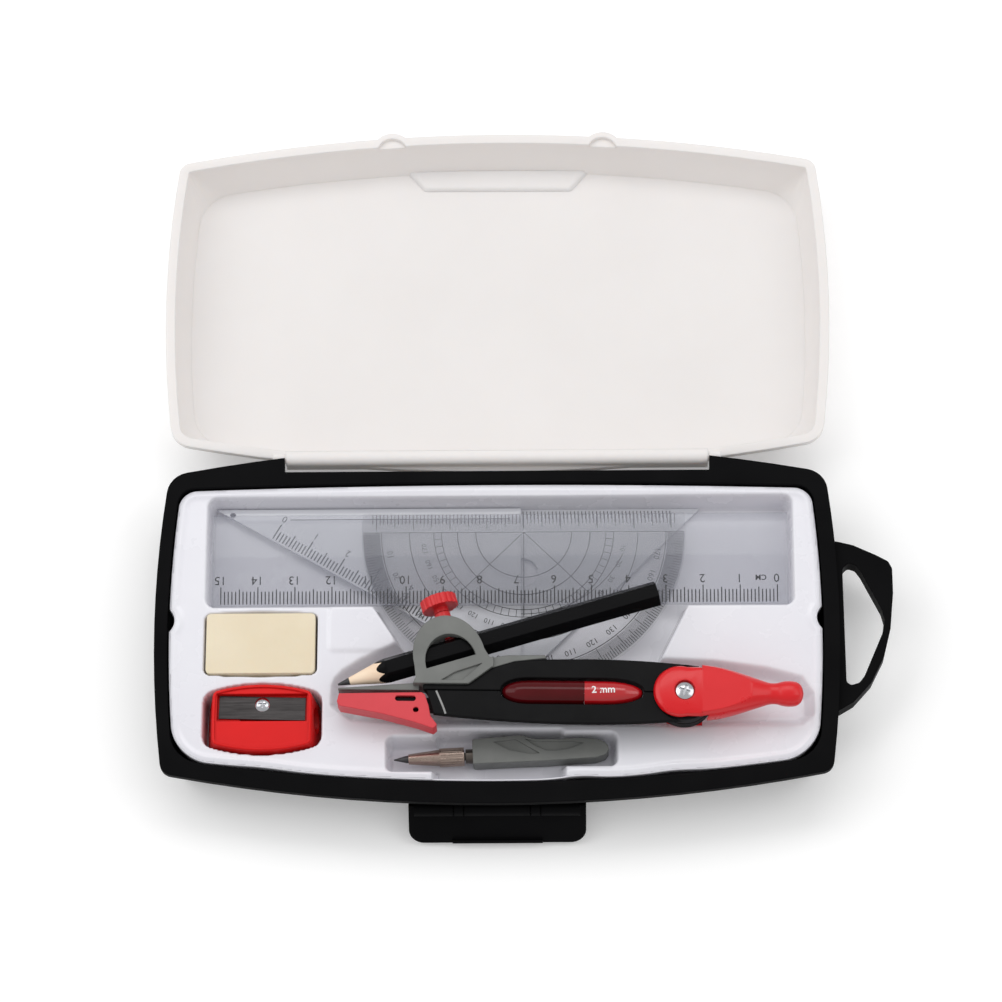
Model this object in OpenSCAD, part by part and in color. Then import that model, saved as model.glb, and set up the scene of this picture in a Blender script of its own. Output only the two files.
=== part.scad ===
// Drafting compass set: a hinged case with a white tray that holds a compass with a pencil,
// a ruler, a protractor, two set squares, an eraser, a sharpener and a lead holder.
// +X runs along the case to its handle, +Y to the hinge, +Z up from the table.

/* [Case] */
// Length of the case between the middles of its bowed ends
case_w = 183.6; // [176:0.2:190]
// Depth of the case between the middles of its bowed front and back
case_d = 101.6; // [98:0.2:104]
// Height of the base from the table to its rim
base_h = 18; // [17:0.1:20]
// Height of the lid above its rim
lid_h = 13.4; // [13.2:0.1:16]
// Wall of the base and of the lid
wall_t = 1.6; // [1.2:0.1:2]
// Radius of the bowed ends
end_bow_r = 305; // [260:5:400]
// Radius of the bowed front and back
front_bow_r = 460; // [420:10:600]
// Radius of the case's front corners
corner_r = 3.5; // [3:0.5:8]
// Radius of the case's back corners
back_corner_r = 6.5; // [5:0.5:14]
// Angle that the lid stands open
lid_open = 180; // [0:5:180]

/* [Tray] */
// Thickness of the formed sheet
sheet_t = 0.8; // [0.6:0.1:1.2]
// Height of the tray's top over the table
tray_top = 17; // [16.5:0.1:17.5]

/* [Compass] */
// Distance from the pivot to the points
leg_reach = 91.5; // [90:0.5:93]
// Thickness of the legs
leg_t = 7; // [6.6:0.1:7.4]
// Height of the compass's middle plane over the table
mid_z = 23.4; // [23.2:0.1:24]
// Diameter of the pivot screw's shank
pivot_d = 3; // [2.5:0.1:3.2]
// Angle between the pencil and the closed legs
pencil_a = 17.4; // [16:0.1:18]
// Distance over the corners of the pencil
pencil_d = 7; // [6.6:0.1:7.2]
// Length of the pencil
pencil_l = 88.5; // [80:0.5:95]

/* [Small tools] */
// Length of the ruler
ruler_l = 155.6; // [150:0.2:156]
// Width of the ruler
ruler_w = 26; // [22:0.5:28]
// Radius of the protractor
protractor_r = 44; // [40:0.5:44]
// Length of the eraser
eraser_l = 29.2; // [24:0.2:30]
// Length of the sharpener
sharpener_l = 30.4; // [28:0.2:31]
// Diameter of the lead
lead_d = 2; // [0.9:0.1:2]

/* [Hidden] */
$fn = 48;

fit = 0.05;              // radial clearance of a running fit
gap = 0.3;               // clearance between parts that move apart
over = 1;                // how far a cutting shape passes the surface it cuts

// Case
half_w = case_w / 2;
half_d = case_d / 2;
lip_h = 2.1;             // height of the rim's outer lip
lip_w = 1.6;             // how far the lip stands out
draft_in = 4.6;          // how far the base's foot is set in from the rim
tray_off = -0.4;         // the tray sits this far left of the case's middle
tray_w = 175.2;
tray_end_r = 330;
tray_front = [44.6, 560, 9];   // depth, bow and corner radius in front of the middle
tray_back = [39.4, 2600, 4.5];   // and behind it
opening_gap = 0.35;      // between the tray and the base's opening
hinge_x = 57.7;          // half length of the hinge recess
hinge_y = 47.7;          // hinge axis, behind the middle
recess_y = 43;           // front edge of the hinge recess
lid_gap = gap;           // between the two rims
lid_top = base_h + lid_gap + lid_h;
hinge_z = (lid_top + 0.1) / 2;   // the opened lid then lies flat on the table
hinge_rod_r = 2;
hinge_pin_r = 1.4;
hinge_pin_l = 3.2;
panel_in = 5.8;          // inset of the lid's flat panel
panel_corner = 11;

// Latch
latch_w = 47.2;
latch_l = 11;
latch_t = 1.5;
latch_in = 1.2;          // from the hinge axis to the flap's inner face
latch_y = 0.7 - half_d;
latch_z = 10.4;
latch_rod_r = 1.2;
knuckle_r = 1.95;
knuckle_x = 22;
heel = 0.3;              // how far the flap passes its axis
hook_d = 0.8;            // depth of the hook behind the lid's catch bar
latch_droop = 46;        // how far the open flap hangs below level
lug_x = 10.2;            // middle of each hinge lug
lug_w = 2.4;
lug_r = 1.95;

// Tray pockets
deep_z = 8.2;            // floor under the ruler and the protractor
compass_floor = 13;
holder_floor = 9.6;
eraser_floor = 7;
sharpener_floor = 4.7;
skirt_z = 3;             // lower edge of the tray's skirt
skirt_in = 2.8;          // how far the skirt's lower edge is set in
pad_l = 3;               // length of the ribs under the compass
notch_r = 4;             // finger notches in the tray's ends
notch_out = 2.6;         // the notches' middles lie this far beyond the tray's ends
notch_y = 0.9;
notch_floor = 8;

// Flat tools, stacked from the bottom
plate_t = 1;
square45_z = deep_z + gap;
square60_z = square45_z + plate_t + gap;
protractor_z = square60_z + plate_t + gap;
ruler_z = protractor_z + plate_t + gap;
ruler_t = 2.2;
ruler_x = 0.8;
ruler_y = 19.2;
square_back = 34.8;      // both set squares reach back to here
square60_x = 6.4;        // the 60 degree square's upright edge
square60_l = 82.8;
square45_x = 7;
square45_half = 48;
protractor_x = 7.2;
protractor_y = 27.4;
eraser_at = [-63.2, -5.8];
eraser_w = 16.9;
eraser_h = 10;
sharpener_at = [-62.4, -26.9];
sharpener_side = [9.3, 44, 1.8];   // half width, bow and corner radius of its long sides
sharpener_end_r = 160;
sharpener_h = 13.4;

// Compass, in its own plane: u from the pivot to the points, v across to the pencil's side
pivot_at = [49.7, -23.3];
compass_turn = -0.9;
leg_bow_r = 370;         // bow of the legs in front of their widest place
leg_rear_r = 250;        // and behind it
leg_half_w = 9.1;
leg_draft = 2.7;         // how far the legs' underside is set in
leg_edge = 0.4;          // bevel along their upper edge
leg_widest = 25;         // u where the closed legs are widest
leg_back = -3.8;         // u of the legs' rear shoulder
grip_end = 67.1;         // u of the needle leg's grip end
end_slant = 3.7;         // how much further the grip reaches at the parting line
carrier_l = 26;          // length of the needle's square carrier
carrier_u = 51.6;
part_gap = 0.15;         // each leg keeps this far from the parting line
eye_r = 7.6;
swing_r = 9.05;          // radius that the legs need inside the head
washer_t = 0.4;
cheek_t = 1.5;
slot_half = leg_t / 2 + fit + washer_t + fit;
head_half = slot_half + cheek_t;
head_disc_r = 7.05;
head_disc_u = 1.2;
cheek_half_w = 6.8;      // the cheeks behind the disc
trunk_start = 4.6;       // from the pivot back to the trunk's shoulder
trunk_at = [0.4, 1.6];   // the trunk's axis lies beside and above the pivot's middle
trunk_flat = 0.93;       // height of the trunk's flats over its radius
trunk_profile = [[7.5, 4.6], [6.9, 9], [5.9, 13], [4.6, 17], [3.6, 20], [2.8, 22.4], [2.75, 24.2],
    [3.3, 26], [3.45, 28], [3.1, 29.9], [1.9, 31], [0, 31.4]];
frame_half = 4.4;
clamp_start = 70;        // u where the pencil leg gives way to the clamp's tip
clamp_u = 61.2;          // u where the thumbscrew meets the pencil
clamp_v = 2.3 + (leg_reach + 0.2 - clamp_u) * tan(pencil_a);
tube_r = 3.3;
tube_ends = [11, 48.2];  // ends of the lead tube and its cap
tube_split = 26.4;       // where the cap meets the tube
tube_nose = 7;
cap_nose = 10;
window_half = tube_r + 0.35;
tube_z = 1.4;            // the tube stands proud of the legs

// Lead holder
holder_at = [1.3, -36.15];
holder_turn = 2.6;
holder_z = 13.4;
holder_tip = -28.7;

// ---- outlines ----

function arc(c, r, a0, a1, n) = [for (i = [0:n]) let (a = a0 + (a1 - a0) * i / n) c + r * [cos(a), sin(a)]];

// centre of the corner circle that touches an end bow and a front bow from inside
function corner_centre(hw, hd, re, rf, rc) =
    let (c1 = [hw - re, 0], c2 = [0, hd - rf], r1 = re - rc, r2 = rf - rc, d = norm(c2 - c1),
        a = (r1 * r1 - r2 * r2 + d * d) / (2 * d), h = sqrt(r1 * r1 - a * a), e = (c2 - c1) / d)
    c1 + a * e + h * [-e[1], e[0]] * (e[0] > 0 ? 1 : -1);

// bowed edge from the middle of the right end to the middle of the back, set in by d;
// side holds the depth, the bow's radius and the corner's radius
function quarter(hw, re, side, d) =
    let (rc = max(side[2], d + 1), c = corner_centre(hw, side[0], re, side[1], rc),
        ae = atan2(c[1], c[0] - (hw - re)), af = atan2(c[1] - (side[0] - side[1]), c[0]))
    concat(arc([hw - re, 0], re - d, 0, ae, 5),
        [for (i = [1:5]) c + (rc - d) * [cos(ae + (af - ae) * i / 6), sin(ae + (af - ae) * i / 6)]],
        arc([0, side[0] - side[1]], side[1] - d, af, 90, 9));

// whole outline, anticlockwise from the right end
function barrel(hw, re, front, back, d = 0) =
    let (b = quarter(hw, re, back, d), f = quarter(hw, re, front, d), n = len(b))
    concat(b, [for (i = [n - 2:-1:0]) [-b[i][0], b[i][1]]], [for (i = [1:n - 1]) -f[i]],
        [for (i = [n - 2:-1:1]) [f[i][0], -f[i][1]]]);

function case_outline(d) = barrel(half_w, end_bow_r, [half_d, front_bow_r, corner_r],
    [half_d, front_bow_r, back_corner_r], d);
function panel_outline(d) = barrel(half_w - panel_in, end_bow_r,
    [half_d - panel_in, front_bow_r, panel_corner],
    [half_d - panel_in, front_bow_r, panel_corner], d);
function tray_outline(d) = [for (p = barrel(tray_w / 2, tray_end_r, tray_front, tray_back, d))
    p + [tray_off, 0]];

// solid through outlines of equal length at the given heights
module loft(outlines, heights) {
    n = len(outlines[0]);
    m = len(outlines);
    points = [for (k = [0:m - 1]) for (p = outlines[k]) [p[0], p[1], heights[k]]];
    sides = [for (k = [0:m - 2]) for (i = [0:n - 1]) let (j = (i + 1) % n)
        [k * n + i, (k + 1) * n + i, (k + 1) * n + j, k * n + j]];
    polyhedron(points, concat([[for (i = [0:n - 1]) i]], sides, [[for (i = [n - 1:-1:0]) (m - 1) * n + i]]));
}

module rounded(r) offset(r = r) offset(delta = -r) children();

module along_x(x0, x1, r, r2 = -1) translate([x0, 0, 0]) rotate([0, 90, 0])
    cylinder(h = x1 - x0, r1 = r, r2 = r2 < 0 ? r : r2);

module slab(x, y, z) translate([x[0], y[0], z[0]]) cube([x[1] - x[0], y[1] - y[0], z[1] - z[0]]);

// ---- case ----

handle_outer = [[88, 23.4], [92, 22.8], [96, 21.8], [102, 19], [105.4, 17.1], [106.4, 15], [106.4, 8],
    [105.4, -2], [103.4, -10], [99.8, -17.2], [95, -22.6], [91, -25], [88, -26]];
handle_hole = [[93, 15], [94.6, 16.7], [96.6, 16], [98, 14], [103.2, 3.4], [103.9, 0.6], [103.4, -2.8],
    [98, -15.4], [96.6, -17.2], [94.4, -17.9], [93.2, -17]];
handle_z = [10.6, 15.6];

module handle_loop() translate([0, 0, handle_z[0]]) linear_extrude(handle_z[1] - handle_z[0]) difference() {
    rounded(1.5) polygon(handle_outer);
    rounded(1.2) polygon(handle_hole);
}

module base_shell() {
    lip_z = base_h - lip_h;
    difference() {
        loft([case_outline(draft_in + 0.8), case_outline(draft_in), case_outline(lip_w + 0.6),
            case_outline(0), case_outline(0)], [0, 0.8, lip_z - 0.9, lip_z, base_h]);
        loft([case_outline(draft_in + wall_t), case_outline(lip_w + 0.6 + wall_t)], [wall_t, lip_z - 0.9]);
        loft([tray_outline(-opening_gap), tray_outline(-opening_gap)], [lip_z - 1.2, base_h + over]);
    }
}

module base_back() intersection() {
    slab([-hinge_x - 7, hinge_x + 7], [recess_y - 1.3, half_d], [0, base_h]);
    loft([case_outline(draft_in + 0.8), case_outline(draft_in), case_outline(lip_w + 0.6),
        case_outline(0), case_outline(0)], [0, 0.8, base_h - lip_h - 0.9, base_h - lip_h, base_h]);
}

module case_base() color("#161616") difference() {
    union() {
        base_shell();
        base_back();
        handle_loop();
        for (x = [-lug_x, lug_x]) translate([x - lug_w / 2, latch_y, latch_z]) {
            rotate([0, 90, 0]) cylinder(h = lug_w, r = lug_r);
            translate([0, 0, -lug_r]) cube([lug_w, 4, 2 * lug_r]);
        }
    }
    slab([-hinge_x, hinge_x], [recess_y, half_d + over], [-over, base_h + over]);
    translate([0, hinge_y, hinge_z]) along_x(-hinge_x - hinge_pin_l - 0.4, hinge_x + hinge_pin_l + 0.4,
        hinge_pin_r + fit);
    translate([0, latch_y, latch_z]) along_x(-lug_x - lug_w, lug_x + lug_w, latch_rod_r + fit);
}

module lid_swing() translate([0, hinge_y, hinge_z]) rotate([-lid_open, 0, 0])
    translate([0, -hinge_y, -hinge_z]) children();

module lid_closed() {
    z0 = base_h + lid_gap;
    rim_h = 2.2;
    inner = wall_t - 0.1;
    difference() {
        union() {
            loft([case_outline(0), case_outline(0), case_outline(1), panel_outline(-1.2), panel_outline(0)],
                [z0, z0 + rim_h - 0.5, z0 + rim_h, lid_top - 1, lid_top]);
            for (x = [-29.5, 29.5]) translate([x, -half_d + 5, z0]) cylinder(h = rim_h, r = 5.6);
            slab([-hinge_x + gap, hinge_x - gap], [hinge_y - hinge_rod_r, half_d - 1.4],
                [hinge_z - 0.6, hinge_z + hinge_rod_r + 2]);
            slab([-8, 8], [-half_d - 0.1, -half_d + 1], [z0 + 0.4, z0 + 1.3]);
        }
        loft([case_outline(2.6), case_outline(2.6), panel_outline(inner - 1.2)],
            [z0 - over, z0 + rim_h, lid_top - inner]);
        for (x = [-29.5, 29.5]) translate([x, -half_d + 5.2, z0 - over]) cylinder(h = rim_h, r = 4.2);
        slab([-22.6, 22.6], [-half_d - over, -half_d + 0.9], [z0 + 1.5, lid_top + over]);
    }
    translate([0, hinge_y, hinge_z]) {
        along_x(-hinge_x + gap, hinge_x - gap, hinge_rod_r);
        along_x(-hinge_x - hinge_pin_l, hinge_x + hinge_pin_l, hinge_pin_r);
    }
}

module case_lid() color([0.93, 0.92, 0.91, 0.6]) lid_swing() lid_closed();

module latch_flap() color("#1a1a1a") translate([0, latch_y, latch_z]) rotate([90 + latch_droop, 0, 0]) {
    difference() {
        union() {
            translate([0, -latch_in, 0]) rotate([90, 0, 0]) linear_extrude(latch_t) intersection() {
                rounded(4) translate([-latch_w / 2, -8]) square([latch_w, latch_l + 8]);
                translate([-latch_w, -heel]) square([2 * latch_w, 20]);
            }
            slab([-12, 12], [-latch_in - 0.1, -latch_in + hook_d], [latch_l - 1.1, latch_l - 0.2]);
            along_x(-knuckle_x, knuckle_x, knuckle_r);
        }
        for (x = [-lug_x, lug_x])
            slab([x - lug_w / 2 - gap, x + lug_w / 2 + gap], [-3, 3], [-3, lug_r + 0.4]);
    }
    along_x(-knuckle_x, knuckle_x, latch_rod_r);
}

// ---- tray ----

module at_compass() translate([pivot_at[0], pivot_at[1], mid_z]) rotate([0, 0, compass_turn])
    mirror([1, 0, 0]) children();

module at_holder() translate([holder_at[0], holder_at[1], holder_z]) rotate([0, 0, holder_turn]) children();

// plan of the sharpener, grown by g all round and set in by l at each end
function sharpener_outline(g, l = 0) =
    barrel(sharpener_l / 2 - l, sharpener_end_r, sharpener_side, sharpener_side, -g);

// a pocket cut from the tray's top down to a floor; grow makes the sheet's outer side
module pocket(floor_z, grow, r = 2) translate([0, 0, floor_z - grow])
    linear_extrude(tray_top + over - floor_z + grow) offset(delta = grow) rounded(r) children();

module pockets(g) {
    pocket(deep_z, g) {
        translate([-77.6, 5.2]) square([156.8, 30.2]);
        polygon([[-34, 6], [-25, -7], [-19, -18.5], [33, -18.5], [42, -13], [51.7, 6]]);
    }
    pocket(eraser_floor, g) translate(eraser_at) square([eraser_l + 1, eraser_w + 1], center = true);
    pocket(sharpener_floor, g) translate(sharpener_at) polygon(sharpener_outline(0.4));
    translate([0, 0, compass_floor - g]) linear_extrude(tray_top + over - compass_floor + g)
        offset(delta = g) rounded(4) compass_recess_plan();
    pocket(holder_floor, g) {
        translate([-28.9, -41.1]) square([14, 8.7]);
        translate([-16.5, -60]) square([34.4, 29.4]);
        translate([14, -39.8]) square([17.5, 8.3]);
    }
    for (x = [-1, 1]) translate([tray_off + x * (tray_w / 2 + notch_out), notch_y, notch_floor - g])
        cylinder(h = tray_top + over, r = notch_r + g, $fn = 40);
}

module compass_recess_plan() translate(pivot_at) rotate(compass_turn) mirror([1, 0])
    polygon([[92.8, 4], [92.8, -1], [88, -4.4], [78, -5], [0, -5], [-22, -4.4], [-31, -4.4], [-33.5, -2.4],
        [-33.5, 3], [-31, 7], [-22, 9.4], [-8, 11.2], [4, 11.6], [40, 12], [60, 16], [74.7, 16.3],
        [85.8, 10.9], [90.4, 7.7], [92.2, 5.7]]);

// ribs that the legs and the head lie on
module tray_pads() at_compass() for (rib = [[18, 8, leg_t / 2], [36, 8, leg_t / 2], [-16, 7, head_half]]) {
    foot = compass_floor - mid_z - sheet_t / 2;
    translate([rib[0], 0, foot]) linear_extrude(-rib[2] - gap - foot) square([pad_l, rib[1]], center = true);
}

module tray_insert() color("#f4f4f6") {
    difference() {
        loft([tray_outline(skirt_in), tray_outline(0), tray_outline(0.4)],
            [skirt_z, tray_top - 0.6, tray_top]);
        difference() {
            loft([tray_outline(skirt_in + sheet_t), tray_outline(sheet_t)],
                [skirt_z - over, tray_top - sheet_t]);
            pockets(sheet_t);
        }
        pockets(0);
    }
    tray_pads();
}

// ---- flat tools ----

module ruler() color([0.8, 0.85, 0.92, 0.5]) translate([ruler_x, ruler_y, ruler_z]) rotate([0, 90, 0])
    translate([0, 0, -ruler_l / 2]) linear_extrude(ruler_l)
    polygon([[0, -ruler_w / 2], [0, ruler_w / 2], [-1, ruler_w / 2], [-ruler_t, ruler_w / 2 - 5],
        [-ruler_t, -ruler_w / 2 + 7], [-0.9, -ruler_w / 2]]);

module protractor() color([0.75, 0.8, 0.88, 0.5]) translate([protractor_x, protractor_y, protractor_z])
    linear_extrude(plate_t) difference() {
        intersection() {
            circle(protractor_r, $fn = 96);
            translate([-50, -50]) square([100, 55.6]);
        }
        circle(1);
    }

module set_square(points, hole_at, hole_r, z) translate([0, 0, z]) linear_extrude(plate_t) difference() {
    polygon(points);
    translate(hole_at) circle(hole_r);
}

// right angle at the back right, 30 degrees at the left corner
module set_square_60() color([0.8, 0.85, 0.9, 0.5])
    set_square([[square60_x - square60_l, square_back], [square60_x, square_back],
        [square60_x, square_back - square60_l * tan(30)]], [square60_x - square60_l + 4.4, square_back - 1.6],
        0.8, square60_z);

module set_square_45() color([0.8, 0.85, 0.9, 0.5])
    set_square([[square45_x - square45_half, square_back], [square45_x + square45_half, square_back],
        [square45_x, square_back - square45_half]], [square45_x, square_back - 18], 4, square45_z);

// ---- eraser and sharpener ----

module eraser() color("#ead9b4") translate([eraser_at[0], eraser_at[1], eraser_floor + gap])
    linear_extrude(eraser_h) rounded(1.2) square([eraser_l, eraser_w], center = true);

blade_at = [0, 4.1];
blade_size = [23, 6.3, 0.6];
blade_mid = -1;          // from the screw to the blade's middle line
blade_turn = -1.5;
seat_z = 11;             // height of the blade's seat over the sharpener's underside
end_draft = 1.8;         // how far the top is set in at each end
rim_w = 0.9;             // raised rim around the top
rim_h = 0.5;

module at_sharpener() translate([sharpener_at[0], sharpener_at[1], sharpener_floor + gap]) children();

module sharpener_body() color("#d8231f") at_sharpener() difference() {
    loft([sharpener_outline(0), sharpener_outline(-0.1, end_draft), sharpener_outline(-0.4, end_draft)],
        [0, sharpener_h - 0.3, sharpener_h]);
    loft([sharpener_outline(-rim_w, end_draft), sharpener_outline(-rim_w, end_draft)],
        [sharpener_h - rim_h, sharpener_h + over]);
    translate([-12, -0.9, seat_z]) cube([24, 7.6, 5]);
    translate([0, 0, seat_z - 3.9]) rotate([0, 90, 0]) translate([0, 0.9, -7.5])
        cylinder(h = 24, r1 = 0.8, r2 = 3.9);
    translate([-6, -0.9, seat_z - 2.4]) cube([17.4, 1.6, 4]);
    translate([blade_at[0], blade_at[1], seat_z - 5]) cylinder(h = 6, r = 1);
}

module at_blade() at_sharpener() translate([blade_at[0], blade_at[1], seat_z]) rotate(blade_turn) children();

module sharpener_blade() color("#55585c") at_blade() difference() {
    translate([-blade_size[0] / 2, blade_mid - blade_size[1] / 2, 0]) cube(blade_size);
    cylinder(h = 4, r = 1.1, center = true);
}

module sharpener_screw() color("#d9dbe0") at_blade()
    difference() {
        union() {
            translate([0, 0, blade_size[2]]) intersection() {
                cylinder(h = 0.9, r = 2);
                translate([0, 0, -1.9]) sphere(2.8);
            }
            translate([0, 0, -4.6]) cylinder(h = 5.4, r = 1);
        }
        for (a = [0, 90]) rotate(a) translate([-1.1, -0.2, 1]) cube([2.2, 0.4, 1]);
    }

// ---- compass head and pivot ----

module disc_profile(r, half) polygon([[0, -half], [r - 1.6, -half], [r - 0.5, -half + 0.5], [r, -half + 1.4],
    [r, half - 1.4], [r - 0.5, half - 0.5], [r - 1.6, half], [0, half]]);

// one pass of corner cutting over a list of points
function softened(p) = concat([p[0]],
    [for (i = [0:len(p) - 2], w = [0.25, 0.75]) p[i] * (1 - w) + p[i + 1] * w], [p[len(p) - 1]]);

// body of revolution from the fork to the rounded end, with flats above and below
module head_trunk() {
    profile = softened(trunk_profile);
    translate([0, trunk_at[0], trunk_at[1]]) rotate([0, -90, 0]) rotate_extrude($fn = 64)
        polygon(concat([[0, trunk_start]], profile));
}

module trunk_flats() {
    profile = softened(trunk_profile);
    upper = [for (p = profile) [-p[1], min(head_half, trunk_at[1] + trunk_flat * p[0])]];
    lower = [for (i = [len(profile) - 2:-1:0]) let (p = profile[i])
        [-p[1], max(-head_half, trunk_at[1] - trunk_flat * p[0])]];
    translate([0, 20, 0]) rotate([90, 0, 0]) linear_extrude(40) polygon(concat(upper, lower));
}

module cheeks() {
    translate([head_disc_u, 0, 0]) rotate_extrude($fn = 64) disc_profile(head_disc_r, head_half);
    rotate([90, 0, 90]) translate([0, 0, -trunk_start - 0.2]) linear_extrude(trunk_start + 0.2)
        for (s = [0, 1]) mirror([s, 0]) disc_profile(cheek_half_w, head_half);
}

module compass_head() color("#d3121c") at_compass() difference() {
    union() {
        cheeks();
        intersection() {
            head_trunk();
            trunk_flats();
        }
    }
    translate([0, 0, -slot_half]) cylinder(h = 2 * slot_half, r = swing_r, $fn = 64);
    translate([0, 0, -10]) cylinder(h = 20, r = pivot_d / 2 + fit);
    translate([0, 0, head_half - 0.7]) cylinder(h = 2, r = 2.7);
    translate([0, 0, -head_half - 1]) cylinder(h = 1.9, r = 2.7);
}

module pivot_screw() color("#d4d7dc") at_compass() difference() {
    union() {
        translate([0, 0, head_half - 0.7]) intersection() {
            cylinder(h = 1, r = 2.45);
            translate([0, 0, -4.2]) sphere(5.1, $fn = 64);
        }
        translate([0, 0, -head_half + 0.1]) cylinder(h = 2 * head_half - 0.7, r = pivot_d / 2);
    }
    for (a = [20, 110]) rotate(a) translate([-1.5, -0.3, head_half - 0.45]) cube([3, 0.6, 2]);
}

module pivot_nut() color("#c9ccd2") at_compass() translate([0, 0, -head_half]) difference() {
    cylinder(h = 0.9, r = 2.6, $fn = 6);
    translate([0, 0, -over]) cylinder(h = 3, r = pivot_d / 2);
}

module pivot_washers() color("#e8e8e4") at_compass()
    for (z = [-slot_half, -washer_t / 2, leg_t / 2 + fit]) translate([0, 0, z]) difference() {
        cylinder(h = washer_t, r = 3.6);
        translate([0, 0, -over]) cylinder(h = 3, r = pivot_d / 2 + fit);
    }

// ---- legs ----

// half width of the closed legs
function leg_v(u) = leg_half_w - pow(u - leg_widest, 2) / (2 * (u > leg_widest ? leg_bow_r : leg_rear_r));

// half of the closed legs on the +v side, set in by d along its outer edge
function leg_outline(u_end, d, slant) = let (u0 = leg_back + d / 2, u1 = u_end + 1 - slant * 0.55 - d / 2)
    concat([[u_end + 1 - d / 2, part_gap]],
        [for (i = [24:-1:0]) let (u = u0 + (u1 - u0) * i / 24) [u, leg_v(u) - d]],
        [[u0, part_gap]]);

module leg_half(u_end, slant) loft([leg_outline(u_end, leg_draft, slant), leg_outline(u_end, 0, slant),
    leg_outline(u_end, leg_edge, slant)], [-leg_t / 2, leg_t / 2 - 0.7, leg_t / 2]);

module leg_eye(z0) {
    h = leg_t / 2 - washer_t / 2 - fit;
    translate([0, 0, z0]) cylinder(h = h, r = eye_r);
}

module leg_cuts(other_half_z) {
    translate([0, 0, other_half_z]) cylinder(h = leg_t / 2 + fit + washer_t / 2, r = eye_r + gap);
    translate([0, 0, -leg_t]) cylinder(h = 2 * leg_t, r = pivot_d / 2 + fit);
    translate([0, 0, -leg_t]) linear_extrude(2 * leg_t) window_plan();
}

module needle_leg() color("#141414") at_compass() mirror([0, 1, 0]) difference() {
    union() {
        leg_half(grip_end, end_slant);
        leg_eye(-leg_t / 2);
    }
    leg_cuts(-washer_t / 2 - fit);
    slab([-10, 0], [-12, 12], [-washer_t / 2 - fit, leg_t]);
    carrier_core(fit);
}

// square carrier that holds the needle; grow opens its seat in the leg
module carrier_core(grow) translate([carrier_u, 3.3, 0]) rotate([0, 90, 0]) linear_extrude(carrier_l)
    square([3.6 + 2 * grow, 3.2 + 2 * grow], center = true);

module needle_carrier() color("#1b1b1c") at_compass() mirror([0, 1, 0]) difference() {
    carrier_core(0);
    translate([leg_reach - 20, 3.3, 0]) along_x(0, 30, 0.6);
}

module needle() color("#c8ccd2") at_compass() translate([leg_reach - 20, -3.3, 0]) {
    along_x(0, 17.6, 0.6);
    along_x(17.6, 19.7, 0.6, 0.06);
}

guard_plan = [[91.2, -1], [69.3, -0.5], [68.5, -1.1], [67.5, -4], [66.9, -7], [65.1, -9.4], [66.2, -10.4],
    [70.5, -8.9], [80, -6.4], [91, -4.4], [91.7, -3.2]];

module needle_guard() color("#e0565c") at_compass() difference() {
    translate([0, 0, -2.8]) linear_extrude(5.6) rounded(0.4) polygon(guard_plan);
    translate([0, 0, -2.1]) linear_extrude(4.2) polygon([[60, -1.4], [84.6, -1.4], [84.6, -5.2], [60, -5.2]]);
    translate([80, -3.3, 0]) along_x(0, 20, 0.8);
    translate([0, 0, 1]) linear_extrude(3) hull() for (u = [71.6, 75.6]) translate([u, -2.2]) circle(0.75);
    translate([70.8, -5.3, 1]) cylinder(h = 4, r = 0.75);
}

module pencil_leg() color("#141414") at_compass() difference() {
    union() {
        difference() {
            leg_half(clamp_start - 2, 0);
            translate([0, 0, -leg_t]) linear_extrude(2 * leg_t) {
                frame_plan();
                polygon([[80, 1.5], [57, 1.5], [51, 6.1], [45, 8], [36.5, 9], [36.5, 14], [80, 14]]);
            }
        }
        leg_eye(washer_t / 2 + fit);
    }
    leg_cuts(-leg_t / 2 - fit);
}

// ---- lead tube between the legs ----

// outline [radius, length] of a rod's rounded nose that ends at length l
function nose_points(r, l, nose) = [for (i = [0:6])
    [0.4 + (r - 0.4) * cos(15 * i), l - nose + nose * sin(15 * i)]];

module nosed_rod(l, r, nose) rotate([0, 90, 0]) rotate_extrude()
    polygon(concat([[0, 0], [r, 0]], nose_points(r, l, nose), [[0, l]]));

function reversed(list) = [for (i = [len(list) - 1:-1:0]) list[i]];

// plan of the window between the legs, a little larger than the tube and its cap
module window_plan() {
    grow = window_half - tube_r;
    far = [for (p = nose_points(window_half, tube_ends[1] - tube_split + grow, tube_nose))
        [tube_split + p[1], p[0]]];
    near = [for (p = nose_points(window_half, tube_split - tube_ends[0] + grow, cap_nose))
        [tube_split - p[1], p[0]]];
    upper = concat(reversed(near), far);
    polygon(concat(upper, reversed([for (p = upper) [p[0], -p[1]]])));
}

module refill_tube() color([0.45, 0.02, 0.04, 0.8]) at_compass() difference() {
    union() {
        translate([tube_split + 0.1, 0, tube_z])
            nosed_rod(tube_ends[1] - tube_split - 0.1, tube_r, tube_nose);
        slab([28, 40], [-window_half, 0], [-1.2, 1.2]);
    }
    translate([0, 0, tube_z]) along_x(tube_split, tube_ends[1] - 5, 2.3);
}

module refill_cap() color("#cf1c20") at_compass() difference() {
    translate([tube_split, 0, tube_z]) mirror([1, 0, 0])
        nosed_rod(tube_split - tube_ends[0], tube_r, cap_nose);
    translate([0, 0, tube_z]) along_x(tube_ends[0] + 5, tube_split + over, 2.3);
}

module spare_leads() color("#3a3b3e") at_compass()
    for (v = [-1.08, 1.08]) translate([0, v, tube_z]) along_x(17.5, 42.5, 1);

// ---- pencil clamp ----

module in_clamp() translate([clamp_u, clamp_v]) rotate(-pencil_a) children();
module at_clamp() translate([clamp_u, clamp_v, 0]) rotate([0, 0, -pencil_a]) children();

function ellipse(c, rx, ry, n) = [for (i = [0:n - 1]) c + [rx * cos(360 * i / n), ry * sin(360 * i / n)]];

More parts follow.
